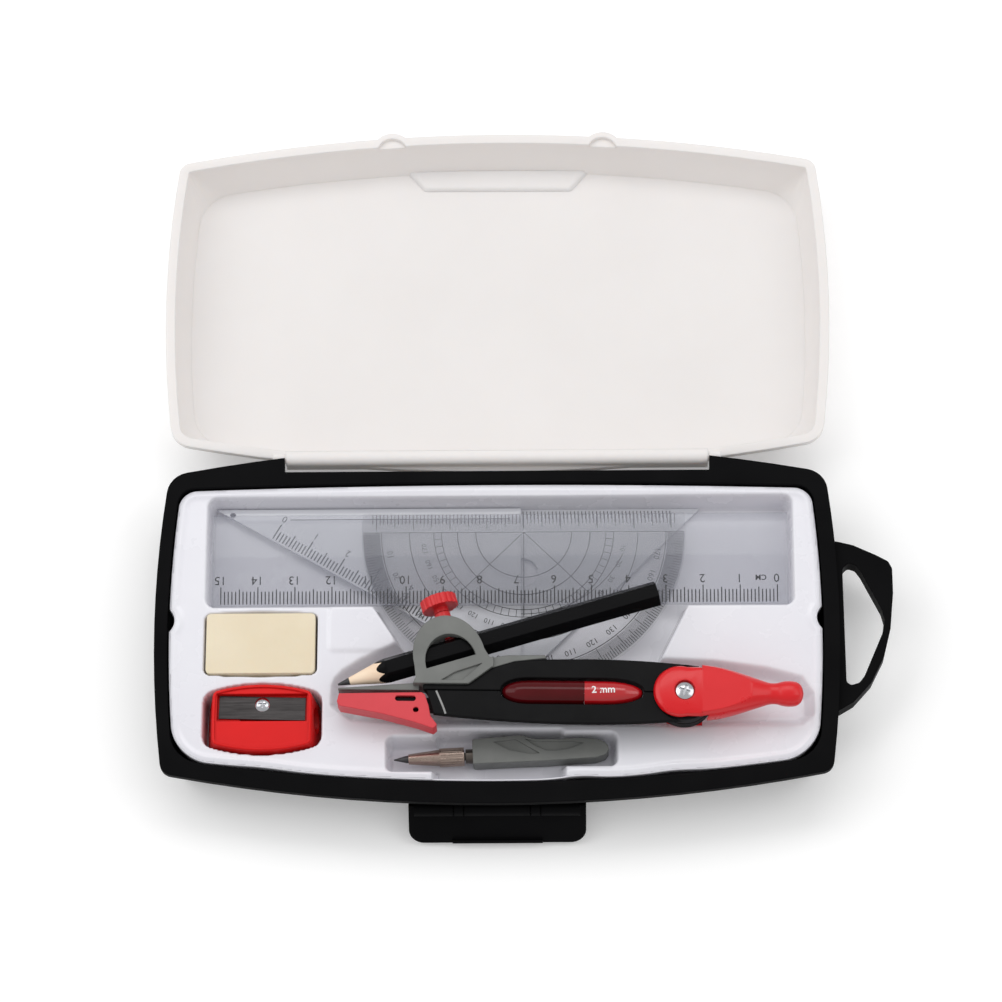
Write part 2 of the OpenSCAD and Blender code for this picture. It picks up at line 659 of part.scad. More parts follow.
module frame_plan() difference() {
    union() {
        in_clamp() intersection() {
            polygon(ellipse([1.8, -2.6], 9.5, 11.8, 60));
            translate([-20, -4.5]) square(40);
        }
        in_clamp() polygon([[12.2, -6.8], [11.25, -1.8], [-7.6, -2.6], [-8.6, -6.5]]);
        polygon([[71.6, 1.6], [57, 1.6], [51, 6.2], [45, 8.1], [36.5, 9.1], [37, 9.9], [47, 9.7], [51.6, 8.9],
            [54, 11], [70, 6]]);
    }
    in_clamp() intersection() {
        polygon(ellipse([1.7, -3.9], 6.8, 7.8, 60));
        translate([-20, -3.9]) square(40);
    }
}

module clamp_frame() color("#8f928d") at_compass() difference() {
    union() {
        translate([0, 0, -frame_half]) linear_extrude(2 * frame_half) difference() {
            frame_plan();
            translate([30, -20]) square([20.5, 40]);
        }
        translate([0, 0, -leg_t / 2 - 0.1]) linear_extrude(leg_t + 0.2) intersection() {
            frame_plan();
            translate([30, -20]) square([21, 40]);
        }
        translate([0, 0, -1.8]) linear_extrude(3.6)
            polygon([[clamp_start + 0.1, 2], [clamp_start + 0.1, 0.4], [leg_reach, 0.4], [leg_reach, 0.8],
                [71.4, 2.4]]);
    }
    at_clamp() along_x(-20, 20, pencil_d / 2 + 0.06);
    at_clamp() rotate([-90, 0, 0]) cylinder(h = 20, r = 1.4 + fit);
    for (s = [-1, 1]) translate([0, 0, s * frame_half - 0.6]) linear_extrude(1.2)
        polygon([[64.2, 2.5], [60.7, 4.7], [53.4, 7.3], [58.6, 2.5]]);
}

module clamp_screw() color("#dc2a2e") at_compass() at_clamp() rotate([-90, 0, 0]) {
    translate([0, 0, 3.6]) cylinder(h = 10, r = 1.4);
    translate([0, 0, 9.5]) cylinder(h = 1.5, r = 2.1);
    translate([0, 0, 11.2]) cylinder(h = 1.4, r = 2);
    translate([0, 0, 10.8]) cylinder(h = 1, r = 1.6);
    translate([0, 0, 12.5]) difference() {
        cylinder(h = 2.9, r = 4.9);
        for (i = [0:17]) rotate(i * 20) translate([5.25, 0, -over]) cylinder(h = 5, r = 0.6, $fn = 16);
    }
}

// ---- pencil ----

module at_pencil() at_compass() translate([leg_reach + 0.2, 2.3, 0]) rotate([0, 0, -pencil_a])
    mirror([1, 0, 0]) children();

wood_cone = 12.6;        // length of the sharpened part up to the lacquer
core_r = 1;              // radius of the graphite

cone_slope = (pencil_d / 2 * 0.93 - 0.25) / wood_cone;

module pencil_cone() along_x(0, pencil_l + over, 0.25, 0.25 + (pencil_l + over) * cone_slope);

module hex_rod(r, x0, x1) translate([x0, 0, 0]) rotate([0, 90, 0]) rotate(30)
    cylinder(h = x1 - x0, r = r, $fn = 6);

module pencil_barrel() color("#101010") at_pencil() difference() {
    intersection() {
        hex_rod(pencil_d / 2, 0, pencil_l);
        pencil_cone();
    }
    hex_rod(pencil_d / 2 - 0.25, -over, pencil_l + over);
}

module pencil_wood() color("#d9b48c") at_pencil() difference() {
    intersection() {
        hex_rod(pencil_d / 2 - 0.25, 0, pencil_l - 0.1);
        pencil_cone();
    }
    along_x(-over, pencil_l + over, core_r);
}

module pencil_lead() color("#2b2b2d") at_pencil() intersection() {
    along_x(0, pencil_l - 0.1, core_r);
    pencil_cone();
}

// ---- lead holder ----

holder_plan = [[-7.7, -2.9], [12, -3], [25, -2.7], [27.4, -2], [28.4, -0.7], [28.2, 0.4], [27.2, 1.5],
    [25.4, 2.3], [20.8, 2.9], [15, 2.8], [8.6, 3.2], [6.6, 3.9], [5.2, 4.4], [-7.7, 3.9]];
holder_window = [[-2.1, 2.9], [3.9, 3.3], [10, -0.8], [7.6, -0.9], [2, 0.5]];
holder_hollow = [[6.2, 3.4], [7.3, 2.5], [9.3, 1.1], [11.9, -0.1], [14.5, -0.3], [18, 0.1], [21.8, 1.4],
    [19, 2.1], [15, 2.1], [9, 2.6]];

module holder_body() color("#8b8d88") at_holder() difference() {
    translate([0, 0, -2.8]) linear_extrude(5.6) rounded(0.6) polygon(holder_plan);
    along_x(-12, 6, 2);
    for (s = [-1, 1]) translate([0, 0, s * 2.8 - 0.5]) linear_extrude(1) {
        polygon(holder_window);
        polygon(holder_hollow);
    }
}

module holder_collet() color("#6e6a63") at_holder() difference() {
    along_x(-9.6, 5.8, 1.95);
    along_x(-14, 5, lead_d / 2 + fit);
}

module holder_nut() color("#a89f92") at_holder() difference() {
    along_x(-16.6, -10, 2.5);
    along_x(-17, -9, 1.5);
    for (i = [0:19]) rotate([18 * i, 0, 0]) translate([0, 2.72, 0]) rotate([0, 90, 0])
        translate([0, 0, -16.2]) cylinder(h = 5.8, r = 0.3, $fn = 16);
}

module holder_nose() color("#b3a793") at_holder() difference() {
    union() {
        along_x(-24.8, -16.6, 1.35, 2.2);
        along_x(-16.7, -10.2, 1.5);
    }
    along_x(-30, -9, lead_d / 2 + fit);
}

module holder_lead() color("#2e2f33") at_holder() {
    along_x(holder_tip, holder_tip + 3.4, 0.15, lead_d / 2);
    along_x(holder_tip + 3.4, 0, lead_d / 2);
}

case_base();
case_lid();
latch_flap();
tray_insert();
ruler();
protractor();
set_square_60();
set_square_45();
eraser();
sharpener_body();
sharpener_blade();
sharpener_screw();
compass_head();
pivot_screw();
pivot_nut();
pivot_washers();
needle_leg();
needle_carrier();
needle();
needle_guard();
refill_tube();
refill_cap();
spare_leads();
pencil_leg();
clamp_frame();
clamp_screw();
pencil_barrel();
pencil_wood();
pencil_lead();
holder_body();
holder_collet();
holder_nose();
holder_nut();
holder_lead();
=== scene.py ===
# Drafting compass set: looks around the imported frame. Lengths are millimetres, and MM turns them into metres.
import math

import bpy
import numpy as np
from mathutils import Matrix, Vector


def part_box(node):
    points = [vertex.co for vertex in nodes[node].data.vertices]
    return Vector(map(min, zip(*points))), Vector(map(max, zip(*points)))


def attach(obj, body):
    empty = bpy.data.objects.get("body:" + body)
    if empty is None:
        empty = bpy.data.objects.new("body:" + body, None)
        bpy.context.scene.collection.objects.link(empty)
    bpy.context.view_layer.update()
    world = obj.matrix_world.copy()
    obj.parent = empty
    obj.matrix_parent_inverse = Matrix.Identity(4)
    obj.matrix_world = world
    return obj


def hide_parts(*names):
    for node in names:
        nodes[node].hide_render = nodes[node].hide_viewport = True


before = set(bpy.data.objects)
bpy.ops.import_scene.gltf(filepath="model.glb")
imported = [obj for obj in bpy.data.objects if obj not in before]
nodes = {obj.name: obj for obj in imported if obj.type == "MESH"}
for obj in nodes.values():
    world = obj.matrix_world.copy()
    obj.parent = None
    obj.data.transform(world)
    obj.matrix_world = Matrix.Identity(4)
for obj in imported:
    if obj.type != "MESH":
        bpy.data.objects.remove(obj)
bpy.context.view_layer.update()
MM = 0.001

# ---------------------------------------------------------------- materials


def new_material(name):
    m = bpy.data.materials.new(name)
    m.use_nodes = True
    t = m.node_tree
    return m, t, t.nodes["Principled BSDF"]


def noise(t, scale, detail, stretch=None):
    coord = t.nodes.new("ShaderNodeTexCoord")
    n = t.nodes.new("ShaderNodeTexNoise")
    n.inputs["Scale"].default_value = scale
    n.inputs["Detail"].default_value = detail
    n.inputs["Roughness"].default_value = 0.55
    if stretch:
        mp = t.nodes.new("ShaderNodeMapping")
        mp.inputs["Scale"].default_value = stretch
        t.links.new(coord.outputs["Object"], mp.inputs["Vector"])
        t.links.new(mp.outputs["Vector"], n.inputs["Vector"])
    else:
        t.links.new(coord.outputs["Object"], n.inputs["Vector"])
    return n.outputs["Fac"]


def ramp(t, fac, stops):
    r = t.nodes.new("ShaderNodeValToRGB")
    el = r.color_ramp.elements
    while len(el) < len(stops):
        el.new(0.5)
    for e, (pos, col) in zip(el, stops):
        e.position = pos
        e.color = (*col, 1)
    t.links.new(fac, r.inputs["Fac"])
    return r.outputs["Color"]


def grey(v):
    return (v, v, v)


def surface(name, col, rough, col2=None, rough2=None, tint_scale=60, bumps=(), edge=None, stretch=None,
            **sockets):
    """Principled material with mottled colour and roughness, layered bumps and rounded edges."""
    m, t, p = new_material(name)
    p.inputs["Roughness"].default_value = rough
    p.inputs["Base Color"].default_value = (*col, 1)
    for k, v in sockets.items():
        p.inputs[k.replace("_", " ")].default_value = v
    if col2:
        mottle = noise(t, tint_scale, 4, stretch=stretch)
        t.links.new(ramp(t, mottle, [(0.3, col), (0.7, col2)]), p.inputs["Base Color"])
    if rough2:
        wear = noise(t, tint_scale * 2.7, 4, stretch=stretch)
        t.links.new(ramp(t, wear, [(0.3, grey(rough)), (0.72, grey(rough2))]), p.inputs["Roughness"])
    normal = None
    if edge:
        b = t.nodes.new("ShaderNodeBevel")
        b.samples = 4
        b.inputs["Radius"].default_value = edge * MM
        normal = b.outputs["Normal"]
    for scale, strength, height in bumps:
        b = t.nodes.new("ShaderNodeBump")
        b.inputs["Strength"].default_value = strength
        b.inputs["Distance"].default_value = height * MM
        t.links.new(noise(t, scale, 3, stretch=stretch), b.inputs["Height"])
        if normal:
            t.links.new(normal, b.inputs["Normal"])
        normal = b.outputs["Normal"]
    if normal:
        t.links.new(normal, p.inputs["Normal"])
    return m


BLACK = surface("black_moulded", (0.0026, 0.0026, 0.003), 0.48, (0.0042, 0.0042, 0.0046), 0.6, 45,
                [(1500, 0.22, 0.05), (70, 0.1, 0.4)], 0.5, Specular_IOR_Level=0.04)
# The frosted lid's faint emission is a painted glow: it stands in for light from the floor shining up through
# the plastic, though the lid is no lamp.
LID_PAINTED_GLOW = surface("frosted_lid_painted_glow", (0.7, 0.676, 0.667), 0.5, (0.73, 0.706, 0.697), 0.6, 22,
              [(900, 0.18, 0.05), (14, 0.15, 1.2)], 0.6, Specular_IOR_Level=0.4, Subsurface_Weight=0.4,
              Subsurface_Radius=(0.004, 0.0035, 0.003), Subsurface_Scale=1.0,
              Emission_Color=(1, 0.97, 0.955, 1), Emission_Strength=0.08)
TRAY = surface("formed_tray", (0.76, 0.755, 0.81), 0.22, (0.79, 0.787, 0.835), 0.32, 30,
               [(240, 0.05, 0.3), (38, 0.15, 1.2)], None, Coat_Weight=0.3, Coat_Roughness=0.12)
RED = surface("red_gloss", (0.64, 0.003, 0.007), 0.26, (0.69, 0.005, 0.01), 0.34, 60,
              [(900, 0.04, 0.05), (90, 0.04, 0.3)], 0.45, Specular_IOR_Level=0.4, Coat_Weight=0.1,
              Coat_Roughness=0.08)
SHARP_RED = surface("red_sharpener", (0.72, 0.004, 0.004), 0.36, (0.66, 0.003, 0.003), 0.46, 80,
                    [(1200, 0.1, 0.06)], 0.4, Specular_IOR_Level=0.25)
THUMB = surface("red_thumbscrew", (0.66, 0.008, 0.012), 0.3, (0.58, 0.006, 0.01), 0.4, 90,
                [(1100, 0.1, 0.06)], 0.25)
CORAL = surface("coral_plastic", (0.66, 0.048, 0.062), 0.36, (0.61, 0.042, 0.055), 0.46, 90,
                [(1100, 0.12, 0.06)], 0.35, Specular_IOR_Level=0.4)
LEG = surface("leg_soft_black", (0.0033, 0.0033, 0.0037), 0.5, (0.0052, 0.0052, 0.0056), 0.62, 80,
              [(2200, 0.25, 0.05), (240, 0.1, 0.1)], 0.5, Specular_IOR_Level=0.11)
GREY = surface("grey_satin", (0.135, 0.14, 0.133), 0.4, (0.172, 0.177, 0.168), 0.52, 120,
               [(1500, 0.18, 0.06)], 0.4, Specular_IOR_Level=0.4)
BLADE = surface("blade_steel", (0.045, 0.042, 0.042), 0.34, (0.075, 0.07, 0.07), 0.5, 150,
                [(700, 0.4, 0.04)], 0.08, (1, 14, 1), Metallic=1.0, Anisotropic=0.5)
CHROME = surface("chrome", (0.62, 0.63, 0.66), 0.14, (0.5, 0.51, 0.54), 0.26, 400,
                 [(1800, 0.1, 0.03)], 0.12, Metallic=1.0)
STEEL = surface("needle_steel", (0.55, 0.56, 0.58), 0.2, (0.48, 0.49, 0.51), 0.3, 100,
                [(1800, 0.1, 0.02)], None, Metallic=1.0)
NYLON = surface("nylon_washer", (0.75, 0.75, 0.71), 0.4, (0.7, 0.7, 0.66), 0.5, 300, [(1500, 0.1, 0.03)], 0.1)
NICKEL = surface("warm_nickel", (0.44, 0.34, 0.29), 0.24, (0.32, 0.25, 0.21), 0.4, 260,
                 [(1500, 0.2, 0.03)], 0.1, (1, 6, 6), Metallic=1.0)
DARK_NICKEL = surface("dark_nickel", (0.1, 0.085, 0.075), 0.3, (0.15, 0.13, 0.115), 0.42, 260,
                      [(1500, 0.2, 0.03)], 0.08, Metallic=1.0)
GRAPHITE = surface("graphite", (0.02, 0.02, 0.022), 0.4, (0.045, 0.045, 0.048), 0.5, 500,
                   [(2500, 0.3, 0.03)], None)
LACQUER = surface("black_lacquer", (0.003, 0.003, 0.0035), 0.22, (0.005, 0.005, 0.0055), 0.3, 90,
                  [(700, 0.06, 0.05)], 0.3, (0.15, 1, 1), Specular_IOR_Level=0.06)
WOOD = surface("cedar", (0.84, 0.6, 0.42), 0.62, (0.92, 0.74, 0.56), 0.78, 500,
               [(1600, 0.4, 0.06)], None, (0.12, 1, 1))
ERASER = surface("eraser", (0.77, 0.665, 0.485), 0.55, (0.81, 0.715, 0.54), 0.7, 70,
                 [(1200, 0.22, 0.08), (120, 0.1, 0.25)], 0.45, Subsurface_Weight=0.15,
                 Subsurface_Radius=(0.002, 0.0014, 0.0008), Subsurface_Scale=1.0)
DARK_RED = surface("lead_tube", (0.066, 0.0012, 0.002), 0.12, (0.085, 0.0025, 0.005), 0.18, 120,
                   [(300, 0.05, 0.1)], 0.2, Specular_IOR_Level=0.2, Coat_Weight=0.05, Coat_Roughness=0.05)
CAP_RED = surface("tube_cap", (0.42, 0.004, 0.008), 0.16, (0.47, 0.006, 0.01), 0.22, 120,
                  [(300, 0.05, 0.1)], 0.2, Coat_Weight=0.5, Coat_Roughness=0.06)
INK = surface("printed_ink", (0.02, 0.02, 0.022), 0.45, (0.035, 0.035, 0.037), 0.6, 600)
WHITE_INK = surface("white_ink", (0.85, 0.85, 0.85), 0.5, (0.8, 0.8, 0.8), 0.6, 600)
PALE_GREY = surface("pale_grey_line", (0.3, 0.3, 0.295), 0.45, (0.25, 0.25, 0.245), 0.55, 400)


def clear(name, col, alpha, rough, bumps=()):
    """Clear sheet plastic: a thin tinted film of colour that keeps its full gloss."""
    return surface(name, col, rough, bumps=bumps, Alpha=alpha, Specular_IOR_Level=0.9)


CLEAR = clear("clear_ruler", (0.34, 0.35, 0.41), 0.24, 0.07, [(24, 0.1, 0.6)])
CLEAR_PRO = clear("clear_protractor", (0.36, 0.37, 0.41), 0.07, 0.08, [(30, 0.12, 0.8)])
CLEAR_SQ = clear("clear_set_square", (0.74, 0.75, 0.8), 0.86, 0.12, [(30, 0.1, 0.8)])
BAND = clear("smoked_band", (0.14, 0.145, 0.16), 0.34, 0.3)

# ---------------------------------------------------------------- mesh helpers


def mesh_piece(name, verts, faces, material, body, smooth=False):
    """Piece that rides a body; verts are in millimetres."""
    me = bpy.data.meshes.new(name)
    me.from_pydata((np.asarray(verts, float) * MM).tolist(), [], [tuple(map(int, f)) for f in faces])
    me.validate()
    me.update()
    if smooth:
        me.polygons.foreach_set("use_smooth", [True] * len(me.polygons))
    o = bpy.data.objects.new(name, me)
    bpy.context.scene.collection.objects.link(o)
    me.materials.append(material)
    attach(o, body)
    return o


def modifier(o, kind, name, **kw):
    mod = o.modifiers.new(name, kind)
    for k, v in kw.items():
        setattr(mod, k, v)


CRISP_ANGLE = 32


def sharpened(o):
    """Smooth shading with crisp edges above the angle."""
    modifier(o, "WELD", "weld", merge_threshold=2e-6)
    modifier(o, "EDGE_SPLIT", "split", split_angle=math.radians(CRISP_ANGLE), use_edge_sharp=False)
    o.data.polygons.foreach_set("use_smooth", [True] * len(o.data.polygons))


class Print:
    """Ink on a flat tool: strips and characters laid on a height given by z(x, y), in millimetres."""

    def __init__(self, z, thick=0.03):
        self.z, self.thick, self.v, self.f = z, thick, [], []

    def poly(self, pts):
        base = len(self.v)
        self.v += [(x, y, self.z(x, y) + self.thick) for x, y in pts]
        self.f.append(tuple(range(base, base + len(pts))))

    def line(self, a, b, w):
        a, b = np.array(a, float), np.array(b, float)
        d = (b - a) / max(np.linalg.norm(b - a), 1e-9)
        n = np.array([-d[1], d[0]]) * w / 2
        self.poly([a - n, b - n, b + n, a + n])

    def arc(self, c, r, a0, a1, w, n=60):
        for i in range(n):
            t0, t1 = (math.radians(a0 + (a1 - a0) * k / n) for k in (i, i + 1))
            p = [(c[0] + q * math.cos(t), c[1] + q * math.sin(t)) for q, t in
                 ((r - w / 2, t0), (r + w / 2, t0), (r + w / 2, t1), (r - w / 2, t1))]
            self.poly(p)

    def text(self, body, at, size, turn=0.0, weight=0.0):
        """Centred characters; turn in degrees."""
        c = bpy.data.curves.new("label", "FONT")
        c.body, c.size, c.align_x, c.align_y = body, size, "CENTER", "CENTER"
        c.resolution_u = 2
        c.offset = weight
        o = bpy.data.objects.new("label", c)
        bpy.context.scene.collection.objects.link(o)
        bpy.context.view_layer.update()
        me = bpy.data.meshes.new_from_object(o.evaluated_get(bpy.context.evaluated_depsgraph_get()))
        t = math.radians(turn)
        base = len(self.v)
        for v in me.vertices:
            x = at[0] + v.co.x * math.cos(t) - v.co.y * math.sin(t)
            y = at[1] + v.co.x * math.sin(t) + v.co.y * math.cos(t)
            self.v.append((x, y, self.z(x, y) + self.thick))
        self.f += [tuple(base + i for i in p.vertices) for p in me.polygons]
        bpy.data.objects.remove(o)
        bpy.data.meshes.remove(me)
        bpy.data.curves.remove(c)

    def make(self, name, material, body):
        return mesh_piece(name, self.v, self.f, material, body)


# ---------------------------------------------------------------- finishes of the CAD nodes

FINISH = {
    "case_base": BLACK, "latch_flap": BLACK, "case_lid": LID_PAINTED_GLOW, "tray_insert": TRAY, "ruler": CLEAR,
    "protractor": CLEAR_PRO, "set_square_60": CLEAR_SQ, "set_square_45": CLEAR_SQ, "eraser": ERASER,
    "sharpener_body": SHARP_RED, "sharpener_blade": BLADE, "sharpener_screw": CHROME, "compass_head": RED,
    "pivot_screw": CHROME, "pivot_nut": CHROME, "pivot_washers": NYLON, "needle_leg": LEG,
    "needle_carrier": LEG, "needle": STEEL, "needle_guard": CORAL, "refill_tube": DARK_RED,
    "refill_cap": CAP_RED, "spare_leads": GRAPHITE, "pencil_leg": LEG, "clamp_frame": GREY,
    "clamp_screw": THUMB, "pencil_barrel": LACQUER, "pencil_wood": WOOD, "pencil_lead": GRAPHITE,
    "holder_body": GREY, "holder_collet": DARK_NICKEL, "holder_nose": NICKEL, "holder_nut": NICKEL,
    "holder_lead": GRAPHITE,
}
for n, m in FINISH.items():
    o = nodes[n]
    for i in range(len(o.material_slots)):
        o.material_slots[i].material = m
    sharpened(o)

# ---------------------------------------------------------------- the formed tray


def sd_box(x, y, cx, cy, w, h, r):
    qx, qy = np.abs(x - cx) - w / 2 + r, np.abs(y - cy) - h / 2 + r
    return np.hypot(np.maximum(qx, 0), np.maximum(qy, 0)) + np.minimum(np.maximum(qx, qy), 0) - r


def sd_poly(x, y, pts):
    pts = np.asarray(pts, float)
    best = np.full(x.shape, 1e9)
    inside = np.zeros(x.shape, bool)
    for a, b in zip(pts, np.roll(pts, -1, axis=0)):
        d = b - a
        t = np.clip(((x - a[0]) * d[0] + (y - a[1]) * d[1]) / (d @ d), 0, 1)
        best = np.minimum(best, np.hypot(x - a[0] - t * d[0], y - a[1] - t * d[1]))
        cross = (a[1] > y) != (b[1] > y)
        with np.errstate(divide="ignore", invalid="ignore"):
            hit = x < a[0] + (y - a[1]) / (b[1] - a[1] if b[1] != a[1] else 1e-12) * d[0]
        inside ^= cross & hit
    return np.where(inside, -best, best)


def wall(d, out, run):
    """0 outside a pocket, 1 inside it, with rounded edges at the top and the foot."""
    t = np.clip((out - d) / run, 0, 1)
    return t * t * (3 - 2 * t)


# the compass's pivot, its turn in the tray and the height of its middle plane
PIVOT = np.array([49.7, -23.3])
TURN = math.radians(-0.9)
MID_Z = 23.4


def at_compass(u, v):
    """Point of the compass's own plane, in the case's millimetres."""
    return (PIVOT[0] - u * math.cos(TURN) - v * math.sin(TURN),
            PIVOT[1] - u * math.sin(TURN) + v * math.cos(TURN))


TRAY_TOP = 17.0
EDGE_ROUND = 0.4         # radius of the fold between the skin and the skirt
SKIRT_DROP = 6.5         # how far the visible skirt reaches down
SKIN_STEP, QUICK_STEP = 0.36, 0.8
lo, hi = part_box("tray_insert")
TX0, TX1, TY0, TY1 = lo.x / MM, hi.x / MM, lo.y / MM, hi.y / MM
FRONT_BOW, BACK_BOW, END_BOW = 560, 2600, 330
FRONT_CORNER, BACK_CORNER = 9.0, 4.5
FRONT_FOLDS = ((0.5, -62, 9), (0.7, 22, 6), (0.6, 47, 7))     # depth, place and width
NOTCH_R, NOTCH_OUT, NOTCH_Y = 4.0, 2.6, 0.9


def tray_edge(x, y):
    """Distance outside the tray's bowed outline and its two finger notches."""
    cx = (TX0 + TX1) / 2
    hw = (TX1 - TX0) / 2
    front = -y + TY0 + (x - cx) ** 2 / (2 * FRONT_BOW)
    back = y - TY1 + (x - cx) ** 2 / (2 * BACK_BOW)
    side = np.abs(x - cx) - hw + y ** 2 / (2 * END_BOW)
    r = np.where(y > 0, BACK_CORNER, FRONT_CORNER)
    qx, qy = side + r, np.maximum(front, back) + r
    e = np.hypot(np.maximum(qx, 0), np.maximum(qy, 0)) + np.minimum(np.maximum(qx, qy), 0) - r
    e = e + sum(deep * np.exp(-((x - at) / wide) ** 2) for deep, at, wide in FRONT_FOLDS) * (y < -30)
    return np.maximum(e, NOTCH_R - np.hypot(np.abs(x - cx) - hw - NOTCH_OUT, y - NOTCH_Y))


# outline of the compass's recess in its own plane, and of the bay beside the long pocket
RECESS = [(92.8, 4), (92.8, -1), (88, -4.4), (78, -5), (0, -5), (-22, -4.4), (-31, -4.4), (-33.5, -2.4),
          (-33.5, 3), (-31, 7), (-22, 9.4), (-8, 11.2), (4, 11.6), (40, 12), (60, 16), (74.7, 16.3),
          (85.8, 10.9), (90.4, 7.7), (92.2, 5.7)]
BAY = [(-34, 7), (-25, -7), (-19, -18.5), (33, -18.5), (42, -13), (51.7, 7)]


def bowed(x, y, cx, cy, hl, hw, bow, r):
    """Distance outside a box whose long sides are bowed."""
    side = np.maximum(np.hypot(x - cx, y - cy - (bow - hw)), np.hypot(x - cx, y - cy + (bow - hw))) - bow
    qx, qy = np.abs(x - cx) - hl + r, side + r
    return np.hypot(np.maximum(qx, 0), np.maximum(qy, 0)) + np.minimum(np.maximum(qx, qy), 0) - r


def tray_height(x, y):
    z = TRAY_TOP + 0.05 * np.sin(x / 17.0 + 0.6) * np.cos(y / 13.0)
    recess = [at_compass(u, v) for u, v in RECESS]
    nose = sd_box(x, y, -21.9, -36.75, 14, 8.7, 1.5)
    finger_recess = sd_box(x, y, 0.7, -45.3, 34.4, 29.4, 1.5)
    tail = sd_box(x, y, 22.75, -35.65, 17.5, 8.3, 1.5)
    holder = np.minimum(np.minimum(nose, finger_recess), tail)
    # distance outside a pocket, its floor's height, and how far out and how wide its wall runs
    floors = [
        (np.minimum(sd_box(x, y, 0.8, 20.3, 156.8, 30.2, 2.0), sd_poly(x, y, BAY)), 8.2, 0.9, 1.7),
        (bowed(x, y, -63.2, -5.9, 14.9, 8.95, 150, 1.4), 7.0, 0.35, 0.7),
        (bowed(x, y, -62.4, -26.9, 15.6, 9.7, 44, 2.0), 4.7, 0.35, 0.7),
        (sd_poly(x, y, recess), 13.0, 1.6, 3.4),
        (holder, 9.6, 0.8, 1.8),
    ]
    for d, floor, out, run in floors:
        z = np.minimum(z, TRAY_TOP - (TRAY_TOP - floor) * wall(d, out, run))
    z = z + 0.45 * wall(sd_box(x, y, -36.2, -1.6, 18, 13.2, 2), 0.6, 1.6) * (z > 16)
    e = tray_edge(x, y)
    lip = 0.25 * np.exp(-((e + 1.6) / 0.7) ** 2) * (z > 16)
    return z + lip


def tray_skirt():
    """Rounded edge and short skirt; each ray from the middle is halved down to the outline."""
    mid = (TX0 + TX1) / 2
    turn = np.linspace(0, 2 * math.pi, 1440, endpoint=False)
    # distance inside the outline, and depth below the top, which is the skin's own height at the first
    drop = [(EDGE_ROUND, None), (0.12, 0.12), (0.0, 0.45), (0.0, SKIRT_DROP)]
    verts = []
    for inset, below in drop:
        near, far = np.zeros(len(turn)), np.full(len(turn), 120.0)
        for _ in range(30):
            half = (near + far) / 2
            out = tray_edge(mid + half * np.cos(turn), half * np.sin(turn)) > -inset
            near, far = np.where(out, near, half), np.where(out, half, far)
        x, y = mid + near * np.cos(turn), near * np.sin(turn)
        z = tray_height(x, y) if below is None else np.full(len(turn), TRAY_TOP - below)
        verts += list(zip(x, y, z))
    n = len(turn)
    faces = [(r * n + (i + 1) % n, r * n + i, (r + 1) * n + i, (r + 1) * n + (i + 1) % n)
             for r in range(len(drop) - 1) for i in range(n)]
    o = mesh_piece("tray_skirt", verts, faces, TRAY, "tray", smooth=True)
    modifier(o, "SOLIDIFY", "sheet", thickness=0.5 * MM, offset=-1.0)
    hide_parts("tray_insert")


def grown(mask):
    """Cells next to a marked cell, itself included."""
    out = mask.copy()
    for dy in (-1, 0, 1):
        for dx in (-1, 0, 1):
            out |= np.roll(np.roll(mask, dy, 0), dx, 1)
    return out


def formed_tray(step):
    """Skin of the sheet on a grid of this step, with its rim pulled onto the outline."""
    nx, ny = int((TX1 - TX0) / step) + 3, int((TY1 - TY0) / step) + 3
    x, y = np.meshgrid(np.linspace(TX0 - step, TX1 + step, nx), np.linspace(TY0 - step, TY1 + step, ny))
    inside = tray_edge(x, y) <= -EDGE_ROUND
    keep = grown(inside)
    rim = keep & ~inside
    for _ in range(5):
        e = tray_edge(x, y) + EDGE_ROUND
        gx = (tray_edge(x + 0.02, y) - tray_edge(x - 0.02, y)) / 0.04
        gy = (tray_edge(x, y + 0.02) - tray_edge(x, y - 0.02)) / 0.04
        g2 = np.maximum(gx * gx + gy * gy, 0.2)
        x, y = np.where(rim, x - gx * e / g2, x), np.where(rim, y - gy * e / g2, y)
    keep = keep.ravel()
    verts = np.column_stack([x.ravel(), y.ravel(), tray_height(x, y).ravel()])
    index = -np.ones(nx * ny, int)
    index[keep] = np.arange(keep.sum())
    a = (np.arange(ny - 1)[:, None] * nx + np.arange(nx - 1)[None, :]).ravel()
    quads = np.column_stack([a, a + 1, a + nx + 1, a + nx])
    quads = quads[keep[quads].all(1) & inside.ravel()[quads].any(1)]
    o = mesh_piece("tray_skin", verts[keep], index[quads], TRAY, "tray", smooth=True)
    modifier(o, "WELD", "weld", merge_threshold=2e-5)
    modifier(o, "SOLIDIFY", "sheet", thickness=0.7 * MM, offset=-1.0)
    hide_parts("tray_insert")


formed_tray(SKIN_STEP)
tray_skirt()

# ---------------------------------------------------------------- lid details, in the opened lid


def tapered(low, high):
    """Closed solid between two outlines of equal length."""
    n = len(low)
    f = [tuple(range(n - 1, -1, -1)), tuple(range(n, 2 * n))]
    return list(low) + list(high), f + [(i, (i + 1) % n, n + (i + 1) % n, n + i) for i in range(n)]


lo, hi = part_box("case_lid")
FAR = hi.y / MM
WALL_IN, LOW_Z, TOP_Z = 6.4, 1.2, 2.7       # the wall's inner face, and the housing's two levels
plan = [(-26.5, FAR - WALL_IN), (-21, FAR - 12.9), (21, FAR - 13.1), (26.5, FAR - WALL_IN)]
v, f = tapered([(x, y, LOW_Z) for x, y in plan],
               [(x * 0.95, y + (0.9 if y < FAR - 10 else 0), TOP_Z) for x, y in plan])
housing = mesh_piece("lid_clasp_housing", v, f, LID_PAINTED_GLOW, "lid")
modifier(housing, "BEVEL", "soft", width=0.6 * MM, segments=3)

# ---------------------------------------------------------------- ruler


def tick(i, ten, five, one):
    """Length of graduation number i."""
    return ten if i % 10 == 0 else five if i % 5 == 0 else one


lo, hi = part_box("ruler")
RX, RY0, RZ = (lo.x + hi.x) / 2 / MM, lo.y / MM, lo.z / MM
BEVEL_W, EDGE_T, BEVEL_RISE = 7.0, 0.9, 1.3


